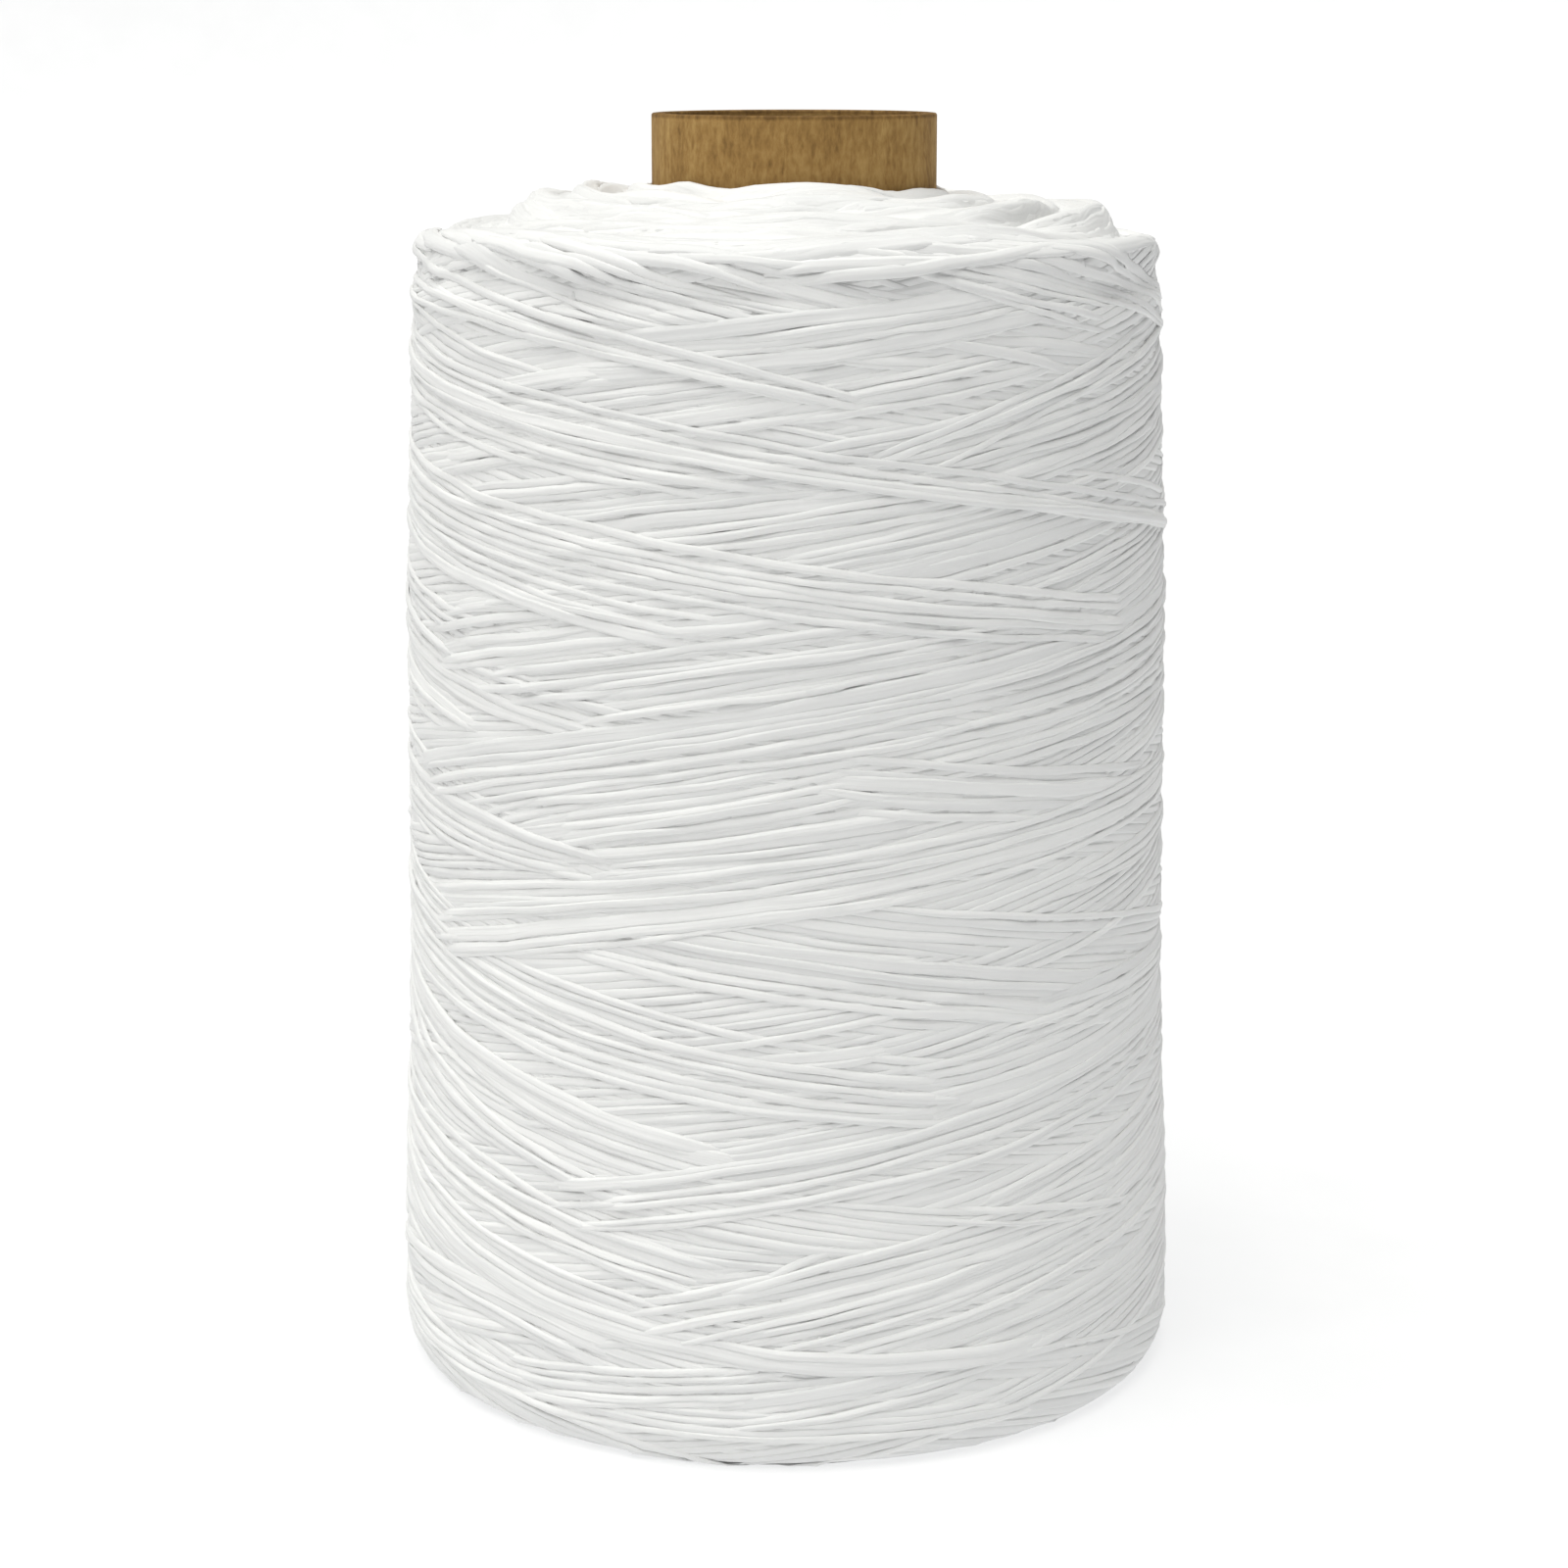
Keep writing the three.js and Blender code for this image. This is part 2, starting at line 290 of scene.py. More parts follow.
class Winding:
    """Keeps how high the winding stands at each place, and lays each strand on that."""

    def __init__(self):
        self.degrees = np.arange(0, 360, STEP_DEG)
        self.lumps = end_lumps(self.degrees, EVEN)
        self.top = self.lumps.copy()
        self.strands = []
        self.sags = []

    def cell(self, degrees, s):
        turn = np.round(degrees / STEP_DEG).astype(int) % self.top.shape[0]
        place = np.clip(np.round(s / STEP_S).astype(int), 0, self.top.shape[1] - 1)
        return turn, place

    def lay(self, degrees, s, width, group, thick=0.45, ridges=1, lift=None):
        """A strand along the points given by degrees and s, laid taut over what is there."""
        degrees, s, spots = even_steps(degrees, s)
        run = np.arange(len(s)) * STEP_ALONG
        width = width * (1 + wander(run, *WIDTH_WANDER))
        spread = strip(degrees, s, width)
        middle, lean = self.rest(s, run, width, spread)
        if lift is not None:
            middle = middle + np.interp(spots, np.linspace(0, 1, len(lift)), lift)
        thick = thick * (1 + wander(run, *THICK_WANDER))
        profile = strand_profile(run, middle, lean, thick, ridges)

        fine = np.linspace(-1, 1, int(math.ceil(width.max() / 0.2)) + 1)[None, :]
        np.maximum.at(self.top, self.cell(*spread(fine)), profile(fine))

        x, drop = cross_section(UNDERSIDE_END if group == "end" else UNDERSIDE, ridges)
        rows = np.unique(np.append(np.arange(0, len(s), ROW_EVERY), len(s) - 1))
        turn, place = spread(x[None, :])
        self.strands.append({
            "group": group, "degrees": turn[rows], "s": place[rows],
            "rise": profile(x[None, :])[rows], "run": run[rows], "width": width[rows],
            "x": x, "drop": drop, "tone": rng.random(), "since": len(self.sags),
        })

    def rest(self, s, run, width, spread):
        """How high the middle of a strand pulled taut comes to lie, and how far it leans."""
        probe = np.linspace(-0.7, 0.7, max(4, 2 * int(width.mean() / 0.5)))[None, :]
        under = self.top[self.cell(*spread(probe))]
        bend = np.interp(s, EVEN, OUT_R) / np.interp(s, EVEN, RADIUS)
        half = under.shape[1] // 2
        low = taut(under[:, :half].max(axis=1), bend)
        high = taut(under[:, half:].max(axis=1), bend)
        most = MOST_LEAN * width
        lean = np.clip(high - low, -most, most)
        middle = np.maximum(low, high) - np.abs(lean) / 2
        ends = smooth(SINK_LENGTH - run, 0, SINK_LENGTH) + smooth(
            run - run[-1] + SINK_LENGTH, 0, SINK_LENGTH)
        return middle - SINK_DEPTH * ends, lean

    def settle(self):
        """Lets the layers laid so far sink into one another, so that the outside is even
        and the single strands and crossings still show."""
        even = blur(self.top, SETTLE_REACH * 2 / STEP_AROUND, SETTLE_REACH / STEP_S)
        sag = EVENNESS * (even - self.lumps - SETTLED)
        self.top = self.top - sag
        self.sags.append(sag)

    def finish(self):
        """Works out how far the strands laid since each settling have sunk in all."""
        self.settle()
        self.level = blur(self.top, LEVEL_REACH[0] / STEP_AROUND, LEVEL_REACH[1] / STEP_S)
        self.sunk = np.cumsum(self.sags[::-1], axis=0)[::-1]

    def settled(self, degrees, s, rise, since):
        """The height that a place of the winding, laid at rise since a settling, ends at."""
        place = self.cell(degrees, s)
        level = self.level[place]
        off = rise - self.sunk[since][place] - level
        off = np.where(off < -DEEPEST, DEEPER_KEPT * (off + DEEPEST) - DEEPEST, off)
        off = np.where(off > PROUDEST, PROUDER_KEPT * (off - PROUDEST) + PROUDEST, off)
        start, full = END_PRESSED_FROM
        pressed = 1 - END_PRESSED * smooth(s, S_SIDE[1] + start, S_SIDE[1] + full)
        away = (degrees + 180) % 360 - 180
        tight = smooth(away, *TIGHT_FROM) * smooth(away, *TIGHT_TO)
        low = np.interp(s, EVEN, HEIGHT)
        pressed = pressed - TIGHT_PRESSED * tight * smooth(low, *TIGHT_BELOW)
        return level + off * pressed

    def visible_runs(self, strand):
        """The stretches of a strand that nothing laid later hides."""
        place = self.cell(strand["degrees"], strand["s"])
        over = strand["rise"] - self.sunk[strand["since"]][place] - self.top[place]
        hidden = HIDDEN_DEPTH_END if strand["group"] == "end" else HIDDEN_DEPTH
        seen = (over[:, strand["drop"] == 0] > -hidden).any(axis=1)
        wide = seen.copy()
        for shift in (1, 2):
            wide[shift:] |= seen[:-shift]
            wide[:-shift] |= seen[shift:]
        edges = np.flatnonzero(np.diff(np.concatenate([[0], wide.astype(int), [0]])))
        return [(a, b) for a, b in zip(edges[::2], edges[1::2]) if b - a >= 2]


def lowest(heights, reach):
    """The lowest height within reach grid steps along the roll and half that round it."""
    for axis, count in ((0, reach // 2), (1, reach)):
        least = heights.copy()
        for shift in range(-count, count + 1):
            least = np.minimum(least, np.roll(heights, shift, axis=axis))
        heights = least
    return heights


def blur(heights, turns, places):
    """Heights evened out over a reach of so many grid steps round the roll and along it."""
    for axis, reach, mode in ((0, turns, "wrap"), (1, places, "edge")):
        reach = int(reach)
        for _ in range(3):
            pad = [(0, 0), (0, 0)]
            pad[axis] = (reach + 1, reach)
            total = np.cumsum(np.pad(heights, pad, mode=mode), axis=axis)
            span = 2 * reach + 1
            heights = (np.take(total, range(span, total.shape[axis]), axis=axis)
                       - np.take(total, range(0, total.shape[axis] - span), axis=axis)) / span
    return heights


def even_steps(degrees, s):
    """The same path in even steps, and how far along it each point lies, from 0 to 1."""
    radius = np.interp(s, EVEN, RADIUS)
    steps = np.hypot(np.diff(np.radians(degrees)) * (radius[1:] + radius[:-1]) / 2, np.diff(s))
    length = np.concatenate([[0], np.cumsum(steps)])
    count = max(6, int(length[-1] / STEP_ALONG) + 1)
    spots = np.linspace(0, 1, count)
    return (np.interp(spots * length[-1], length, degrees),
            np.interp(spots * length[-1], length, s), spots)


def strip(degrees, s, width):
    """The ground under a strand, as a function of the place across it, from -1 to 1."""
    radius = np.interp(s, EVEN, RADIUS)
    along_turn = np.gradient(np.radians(degrees)) * radius
    along_s = np.gradient(s)
    size = np.hypot(along_turn, along_s)
    across_turn = np.degrees(-along_s / size * width / 2 / radius)[:, None]
    across_s = (along_turn / size * width / 2)[:, None]

    def spread(x):
        return degrees[:, None] + x * across_turn, s[:, None] + x * across_s

    return spread


def strand_profile(run, middle, lean, thick, ridges):
    """The height of a strand's upper side, as a function of the place across it."""
    fold = wander(run, *CREASE_WANDER)[:, None]
    drift = wander(run, *RIDGE_WANDER)[:, None]

    def profile(x):
        round_top = np.clip(1 - np.abs(x) ** EDGE_SHAPE, 0, 1)
        if ridges > 1:
            phase = (ridges - 1) * (x + drift * (1 - x * x)) * math.pi
            swing = np.cos(phase + math.pi * (ridges % 2 == 0))
            round_top = round_top * (1 - RIDGE_DEPTH / 2 + RIDGE_DEPTH / 2 * swing)
        crease = CREASE_DEPTH * np.exp(-((x - fold) / CREASE_WIDTH) ** 2)
        return (middle[:, None] + lean[:, None] * x / 2
                + thick[:, None] * round_top * (1 - crease))

    return profile


def cross_section(depth, ridges):
    """The places across a strand at which it has points, and how far each of them lies
    below the upper side. The underside has a point for each ridge."""
    if ridges == 1:
        top = np.sin(np.linspace(-1, 1, 6) * math.pi / 2)
    else:
        top = np.linspace(-1, 1, 5 + 2 * ridges)
    bottom = np.linspace(1, -1, ridges + 2)[1:-1]
    drop = np.concatenate([np.zeros(len(top)), np.full(len(bottom), depth)])
    drop[[0, len(top) - 1]] = depth / 2
    return np.concatenate([top, bottom]), drop


def taut(heights, bend):
    """What a strand pulled taut over these heights takes as its own height: it bridges
    hollows as a straight line does on a surface bent by bend."""
    reach = min(int(BRIDGE_REACH / STEP_ALONG), len(heights) - 1)
    raised = heights.copy()
    for shift in range(1, reach):
        drop = (shift * STEP_ALONG) ** 2 / 2 * bend
        raised[shift:] = np.maximum(raised[shift:], heights[:-shift] - drop[shift:])
        raised[:-shift] = np.maximum(raised[:-shift], heights[shift:] - drop[:-shift])
    closed = raised.copy()
    for shift in range(1, reach):
        drop = (shift * STEP_ALONG) ** 2 / 2 * bend
        closed[shift:] = np.minimum(closed[shift:], raised[:-shift] + drop[shift:])
        closed[:-shift] = np.minimum(closed[:-shift], raised[shift:] + drop[:-shift])
    return heights + TAUTNESS * np.maximum(closed - heights, 0)


def wander(run, wave, size):
    """A slow, even drift along a strand: three waves, each shorter and weaker."""
    total = 0
    for share in (1.0, 0.55, 0.3):
        phase = rng.random() * 2 * math.pi
        total = total + share * np.sin(run / wave * 2 * math.pi / share + phase)
    return size * total / 1.85


winding = Winding()

# The crossing turns. A pass goes TRAVERSE_TURNS times round the roll from end to end, runs
# OVERRUN mm past the side there and turns back over TURN_BACK degrees. STARTS passes begin
# round the roll before the next lies beside the first.
TRAVERSE_TURNS = 2.667
STARTS = 3
PITCH = 0.97  # from one strand to the next, as a share of its width
OVERRUN = 1.5
TURN_BACK = 40


def lay_crossing_turns():
    """The last full cover of the roll: up and down in long slanting passes, each pair of
    passes a strand's width on from the one three before it."""
    low, high = S_SIDE[0] - OVERRUN, S_SIDE[1] + OVERRUN
    length = TRAVERSE_TURNS * 360
    slope = (high - low) / length
    progress = STRAND_WIDTH * PITCH / slope / STARTS
    for turn in range(int(360 / STARTS / progress) + 1):
        if turn % SETTLE_EVERY == SETTLE_EVERY - 1:
            winding.settle()
        for way in (1, -1):
            crest = rng.uniform(0, 5)
            degrees = np.arange(-TURN_BACK, length + TURN_BACK, 2.0)
            s = low + slope * degrees
            s = np.where(degrees < 0, low - crest * smooth(-degrees, 0, 60), s)
            s = np.where(degrees > length, high + crest * smooth(degrees - length, 0, 60), s)
            s = s + wander(degrees, 60, 0.3)
            if way < 0:
                s = low + high - s
            start = turn * (360 / STARTS + progress) + (0 if way > 0 else length)
            winding.lay(degrees + start, s, STRAND_WIDTH * rng.uniform(0.8, 1.4), "under",
                        thick=rng.uniform(*STRAND_THICK))


# Main passes on the front, in the order in which they were wound. A pass runs from
# start_deg to end_deg, measured from the front and positive to the right. Its heights at
# the start, the middle and the end, and its widths at both ends, are in mm.
Band = namedtuple("Band", "start_deg end_deg start_z mid_z end_z start_w end_w")

FRONT_BANDS = [
    Band(-84, -40, 11.0, 8.5, 5.5, 5.0, 4.0),
    Band(-84, 40, 9.0, 7.0, 6.5, 5.0, 4.0),
    Band(-48, 24, 8.0, 12.0, 15.5, 6.0, 6.0),
    Band(-10, 36, 7.0, 11.0, 15.0, 5.0, 5.0),
    Band(10, 84, 13.0, 18.0, 21.0, 8.0, 8.0),
    Band(-14, 84, 15.0, 25.5, 31.5, 8.0, 9.0),
    Band(-84, -22, 15.5, 18.5, 13.5, 5.0, 4.0),
    Band(24, 84, 32.0, 38.5, 43.0, 8.0, 8.0),
    Band(-28, 8, 34.0, 32.0, 30.5, 4.0, 4.0),
    Band(-84, -6, 40.5, 34.5, 26.5, 9.0, 7.0),
    Band(-50, 20, 49.0, 54.2, 59.0, 9.0, 7.0),
    Band(14, 84, 53.5, 57.0, 61.0, 8.0, 8.0),
    Band(-84, 17, 56.0, 40.2, 31.0, 3.4, 2.4),
    Band(-84, -2, 61.0, 51.0, 43.0, 8.0, 6.0),
    Band(-36, 84, 35.0, 46.0, 53.5, 8.0, 9.0),
    Band(-84, 48, 31.0, 18.6, 14.0, 6.0, 2.6),
    Band(-26, 64, 19.5, 29.8, 33.5, 8.0, 8.0),
    Band(-84, 28, 70.0, 59.5, 51.5, 11.0, 7.0),
    Band(-84, -46, 76.5, 73.0, 69.0, 7.0, 5.0),
    Band(34, 84, 66.0, 64.5, 62.5, 4.0, 4.0),
    Band(-34, 58, 76.0, 69.8, 60.5, 7.0, 9.0),
    Band(30, 84, 61.0, 62.2, 62.5, 7.0, 6.0),
    Band(-40, 26, 84.5, 90.2, 94.0, 6.0, 5.0),
    Band(-60, 4, 84.0, 93.0, 98.5, 7.0, 7.0),
    Band(-42, 84, 89.0, 101.0, 107.0, 8.0, 8.0),
    Band(0, 70, 98.8, 94.6, 90.0, 9.0, 7.0),
    Band(-58, 30, 91.5, 101.5, 107.0, 6.0, 6.0),
    Band(-84, -22, 89.5, 86.5, 84.8, 9.0, 4.0),
    Band(-84, -24, 93.5, 89.8, 86.0, 1.6, 1.6),
    Band(-30, 18, 83.5, 87.0, 90.2, 3.5, 3.0),
    Band(-66, 84, 70.0, 84.4, 90.5, 11.0, 6.0),
    Band(40, 84, 79.6, 81.8, 83.4, 4.0, 4.0),
    Band(-62, 22, 65.5, 76.5, 82.5, 1.8, 1.6),
    Band(-84, -40, 120.5, 117.5, 114.8, 4.0, 4.0),
    Band(-34, -4, 109.4, 108.4, 106.6, 4.0, 3.0),
    Band(-84, -12, 114.0, 108.2, 103.4, 8.0, 6.0),
    Band(-84, -48, 106.0, 103.0, 100.5, 4.0, 3.0),
    Band(-60, -8, 115.8, 121.3, 125.0, 6.0, 6.0),
    Band(-66, 8, 110.5, 117.8, 123.5, 7.0, 7.0),
    Band(-52, 20, 107.5, 114.1, 119.0, 6.0, 6.0),
    Band(-34, 40, 106.6, 113.0, 117.0, 6.0, 6.0),
    Band(-8, 60, 107.5, 112.7, 116.5, 5.0, 5.0),
    Band(-72, 84, 90.5, 107.2, 115.5, 5.0, 7.0),
    Band(-66, 20, 141.0, 148.0, 155.0, 9.0, 9.0),
    Band(-56, 34, 146.5, 153.6, 160.5, 7.0, 8.0),
    Band(-60, 12, 131.5, 137.2, 141.8, 7.0, 6.0),
    Band(-46, 46, 128.0, 134.5, 139.8, 7.0, 6.0),
    Band(-10, 60, 125.2, 131.2, 136.6, 6.0, 6.0),
    Band(14, 72, 123.0, 128.0, 132.5, 6.0, 6.0),
    Band(30, 84, 120.0, 124.8, 129.0, 6.0, 6.0),
    Band(-84, 0, 149.8, 143.4, 138.5, 7.0, 5.0),
    Band(-84, -4, 129.5, 123.5, 118.0, 5.0, 4.0),
    Band(-84, 62, 135.6, 126.1, 115.8, 9.0, 6.5),
    Band(22, 84, 106.2, 109.8, 113.6, 8.0, 8.0),
    Band(-12, 60, 158.8, 155.6, 151.5, 6.0, 5.0),
    Band(20, 84, 137.5, 142.6, 147.8, 7.0, 7.0),
    Band(0, 84, 139.5, 146.0, 153.6, 8.0, 8.0),
    Band(-6, 46, 148.5, 152.0, 156.0, 5.0, 5.0),
    Band(-36, 46, 154.4, 158.3, 163.6, 8.0, 7.0),
    Band(8, 84, 138.6, 151.2, 159.0, 3.0, 4.0),
    Band(-84, 14, 164.0, 158.4, 147.6, 7.5, 1.8),
    Band(-26, 18, 171.0, 166.7, 161.8, 5.0, 4.0),
    Band(-44, 4, 170.6, 166.2, 160.9, 5.0, 4.0),
    Band(-62, -10, 170.0, 165.3, 159.6, 5.0, 4.0),
    Band(8, 60, 170.2, 164.3, 158.8, 4.0, 5.0),
    Band(26, 84, 171.0, 164.6, 158.2, 6.0, 7.0),
    Band(-2, 52, 165.8, 168.0, 170.6, 2.8, 2.4),
    Band(15, 50, 158.4, 155.4, 151.4, 1.5, 1.5),
    Band(22, 57, 157.8, 156.2, 153.0, 1.5, 1.5),
    Band(-84, 84, 153.8, 141.8, 127.6, 7.5, 2.6),
    Band(-10, 17, 24.5, 29.8, 33.9, 2.8, 2.8),
    Band(15, 62, 37.6, 33.0, 28.8, 2.2, 2.2),
]


# A band that comes within 10 degrees of the view's edge runs on past it by PAST_EDGE degrees
VIEW_EDGE = 90
PAST_EDGE = 24
IN_ORDER = 0.6  # share of the bands whose strands lie in order, each over the one before


def lay_band(band, group):
    """A band of strands side by side, closing up or opening out from end to end."""
    mean = (band.start_w + band.end_w) / 2
    count = max(1, round(mean / STRAND_WIDTH))
    if rng.random() < IN_ORDER:
        order = np.arange(count)[::rng.choice([-1, 1])]
    else:
        order = rng.permutation(count)
    past = PAST_EDGE / (band.end_deg - band.start_deg)
    first = -past if band.start_deg < 10 - VIEW_EDGE else 0
    last = 1 + past if VIEW_EDGE - 10 < band.end_deg < VIEW_EDGE else 1
    share = np.linspace(first, last, 80)
    middle = (band.start_z * (2 * share ** 2 - 3 * share + 1)
              + band.mid_z * (4 * share - 4 * share ** 2)
              + band.end_z * (2 * share ** 2 - share))
    wide = band.start_w + (band.end_w - band.start_w) * share
    for place in order:
        offset = (place + 0.5) / count - 0.5
        ends = rng.uniform(-5, 5, 2)
        span = band.end_deg + ends[1] - band.start_deg - ends[0]
        degrees = band.start_deg + ends[0] + span * share
        run = np.radians(degrees - degrees[0]) * MEAN_RADIUS
        s = along(middle + offset * wide, rng.uniform(1.5, 7)) + wander(run, 55, 0.3)
        s = s + wander(run, 16, 0.08)
        broad = rng.random() < BROAD_SHARE and count > 2
        width = mean / count * (rng.uniform(1.5, 2.1) if broad else rng.uniform(0.8, 1.15))
        winding.lay(degrees, s, width, group, thick=rng.uniform(*STRAND_THICK),
                    ridges=2 if broad else 1)


def lay_front():
    for number, band in enumerate(FRONT_BANDS):
        if number % SETTLE_EVERY == 0:
            winding.settle()
        lay_band(band, "front")


# The passes on the back, in degrees, mm, and mm for each degree
BACK_SPAN = (94, 266)
BACK_ROWS = 11
BACK_LOWEST = 2
BACK_SPACING = 17
BACK_SLOPE = 0.165
BACK_SHOWN = 0.8  # share of the half passes that are laid


def lay_back():
    """The passes on the back follow the winding's own rhythm, the later over the earlier."""
    rows = [(row, way) for row in range(BACK_ROWS) for way in (1, -1)]
    for number, (row, way) in enumerate(rng.permutation(rows)):
        if number % SETTLE_EVERY == 0:
            winding.settle()
        start = BACK_SPAN[0] + rng.uniform(-8, 8)
        end = BACK_SPAN[1] + rng.uniform(-8, 8)
        middle = BACK_LOWEST + row * BACK_SPACING + rng.uniform(-4, 4)
        rise = way * BACK_SLOPE * (end - start) / 2
        wide = rng.uniform(6, 13, 2)
        for turn_from, turn_to in ((0, 0.5), (0.5, 1)):
            if rng.random() < BACK_SHOWN:
                first = start + (end - start) * turn_from
                last = start + (end - start) * turn_to
                turns = (turn_from, (turn_from + turn_to) / 2, turn_to)
                heights = [middle + rise * (2 * turn - 1) for turn in turns]
                lay_band(Band(first - 12, last + 12, *heights, *wide), "back")


# Rings of turn-backs: the first radius, the radius before which they stop, and the step
END_RINGS = (23.6, 52.0, 1.3)
FOOT_RINGS = (24.0, 56.0, 1.7)
CORNER_RADII = (55.1, 56.1)

# The small loop by the tube: its angle, half its length in degrees, and in mm its radius,
# width, thickness and height
LOOP_ANGLE = 26
LOOP_HALF = 11
LOOP_RADIUS = 23.2
LOOP_WIDTH = 1.7
LOOP_THICK = 0.6
LOOP_HEIGHT = 1.8


def lay_upper_end():
    """The turn-backs of earlier layers, in long arcs round the upper end, and a small loop
    that stands up by the tube."""
    for number, ring in enumerate(np.arange(*END_RINGS)):
        if number % SETTLE_EVERY == 0:
            winding.settle()
        arcs = 3 if ring < 32 else 4
        first = rng.uniform(0, 360)
        for arc in range(arcs):
            half = rng.uniform(56, 78)
            share = np.linspace(-1, 1, 60)
            run = (share + 1) * np.radians(half) * ring
            dive = rng.uniform(1, 4) * np.abs(share) ** 2.4
            s = along_end(ring + rng.uniform(-0.5, 0.5)) - dive + wander(run, 34, 0.7)
            centre = first + arc * 360 / arcs + rng.uniform(-10, 10)
            winding.lay(centre + share * half, s, rng.uniform(2.6, 4.6), "end",
                        thick=rng.uniform(0.3, 0.55), ridges=rng.integers(2, 4))
    share = np.linspace(-1, 1, 30)
    s = along_end(np.full(30, LOOP_RADIUS)) - 1.5 * share ** 2
    winding.lay(LOOP_ANGLE + LOOP_HALF * share, s, LOOP_WIDTH, "end", thick=LOOP_THICK,
                lift=LOOP_HEIGHT * (1 - share ** 2))


def lay_foot():
    """The turn-backs on the underside, pressed flat by the roll's weight."""
    inside = EVEN <= S_SIDE[0]
    for radius in np.arange(*FOOT_RINGS):
        first = rng.uniform(0, 360)
        place = np.interp(radius, RADIUS[inside], EVEN[inside])
        for arc in range(4):
            half = rng.uniform(48, 62)
            share = np.linspace(-1, 1, 50)
            run = (share + 1) * np.radians(half) * radius
            s = place + rng.uniform(2, 5) * np.abs(share) ** 2.2 + wander(run, 26, 0.3)
            winding.lay(first + arc * 90 + share * half, s, rng.uniform(1.7, 2.4), "foot")


def lay_corner():
    """The lowest turns, round the corner on which the roll stands. They leave the random
    draws of the other turns as they are."""
    state = rng.bit_generator.state
    inside = EVEN <= S_SIDE[0]
    share = np.linspace(-1, 1, 60)
    for radius in CORNER_RADII:
        first = rng.uniform(0, 360)
        place = np.interp(radius, RADIUS[inside], EVEN[inside])
        for arc in range(3):
            run = (share + 1) * np.radians(66) * radius
            s = place + rng.uniform(0.3, 1.2) * np.abs(share) ** 2.2 + wander(run, 26, 0.2)
            winding.lay(first + arc * 120 + share * 66, s, rng.uniform(1.6, 2.0), "foot")
    rng.bit_generator.state = state


lay_foot()
lay_corner()
lay_upper_end()
lay_crossing_turns()
lay_back()
lay_front()
winding.finish()


# Meshes of the strands

PIECE_LIMIT = 190000  # most triangles in a mesh


def strand_mesh(name, parts):
    """One mesh of many closed strands."""
    points, loops, sizes, uvs, tones = [], [], [], [], []
    base = 0
    for strand, a, b in parts:
        rows, count = b - a, len(strand["x"])
        spots = strand["degrees"][a:b], strand["s"][a:b]
        rise = winding.settled(*spots, strand["rise"][a:b], strand["since"])
        place = surface(*spots, rise - strand["drop"])
        points.append(place.reshape(-1, 3))
        tones.append(np.full(rows * count, strand["tone"]))
        grid = base + np.arange(rows * count).reshape(rows, count)
        aside = np.roll(grid, -1, axis=1)
        quads = np.stack([grid[:-1], grid[1:], aside[1:], aside[:-1]], axis=-1).reshape(-1, 4)
        # Each strand takes its own place in the pattern of the fibres
        u = np.repeat(strand["run"][a:b, None], count, axis=1) * MM + strand["tone"] * 7
        v = strand["x"][None, :] * strand["width"][a:b, None] / 2 * MM + strand["tone"] * 3
        uv = np.stack([u, v], axis=-1).reshape(-1, 2)
        loops.append(quads.reshape(-1))
        uvs.append(uv[quads.reshape(-1) - base])
        sizes.append(np.full(len(quads), 4))
        for cap in (grid[0], grid[-1][::-1]):
            loops.append(cap)
            uvs.append(uv[cap - base])
            sizes.append(np.array([count]))
        base += rows * count
    points, loops, sizes = np.concatenate(points), np.concatenate(loops), np.concatenate(sizes)
    mesh = bpy.data.meshes.new(name)
    mesh.vertices.add(len(points))
    mesh.vertices.foreach_set("co", points.astype(np.float32).reshape(-1))
    mesh.loops.add(len(loops))
    mesh.loops.foreach_set("vertex_index", loops.astype(np.int32))
    mesh.polygons.add(len(sizes))
    starts = np.concatenate([[0], np.cumsum(sizes)[:-1]])
    mesh.polygons.foreach_set("loop_start", starts.astype(np.int32))
    mesh.polygons.foreach_set("loop_total", sizes.astype(np.int32))
    mesh.polygons.foreach_set("use_smooth", np.ones(len(sizes), bool))
    layer = mesh.uv_layers.new(name="fibres")
    layer.data.foreach_set("uv", np.concatenate(uvs).astype(np.float32).reshape(-1))
    tone = mesh.attributes.new("tone", "FLOAT", "POINT")
    tone.data.foreach_set("value", np.concatenate(tones).astype(np.float32))
    mesh.update(calc_edges=True)
    mesh.validate()
    piece = bpy.data.objects.new(name, mesh)
    bpy.context.scene.collection.objects.link(piece)
    return piece


GROUP_NAMES = {
    "under": "raffia_crossing_turns",
    "front": "raffia_front_bands",
    "back": "raffia_back_bands",
    "end": "raffia_upper_end",
    "foot": "raffia_underside",
}


def make_strands():
    pieces = []
    for group, title in GROUP_NAMES.items():
        parts, size, number = [], 0, 1
        for strand in winding.strands:
            if strand["group"] != group:
                continue
            for a, b in winding.visible_runs(strand):
                cost = 2 * (b - a - 1) * len(strand["x"]) + 2 * len(strand["x"])
                if size + cost > PIECE_LIMIT:
                    pieces.append(strand_mesh(f"{title}_{number}", parts))
                    parts, size, number = [], 0, number + 1
                parts.append((strand, a, b))
                size += cost
        if parts:
            pieces.append(strand_mesh(f"{title}_{number}", parts))
    return pieces


# Materials

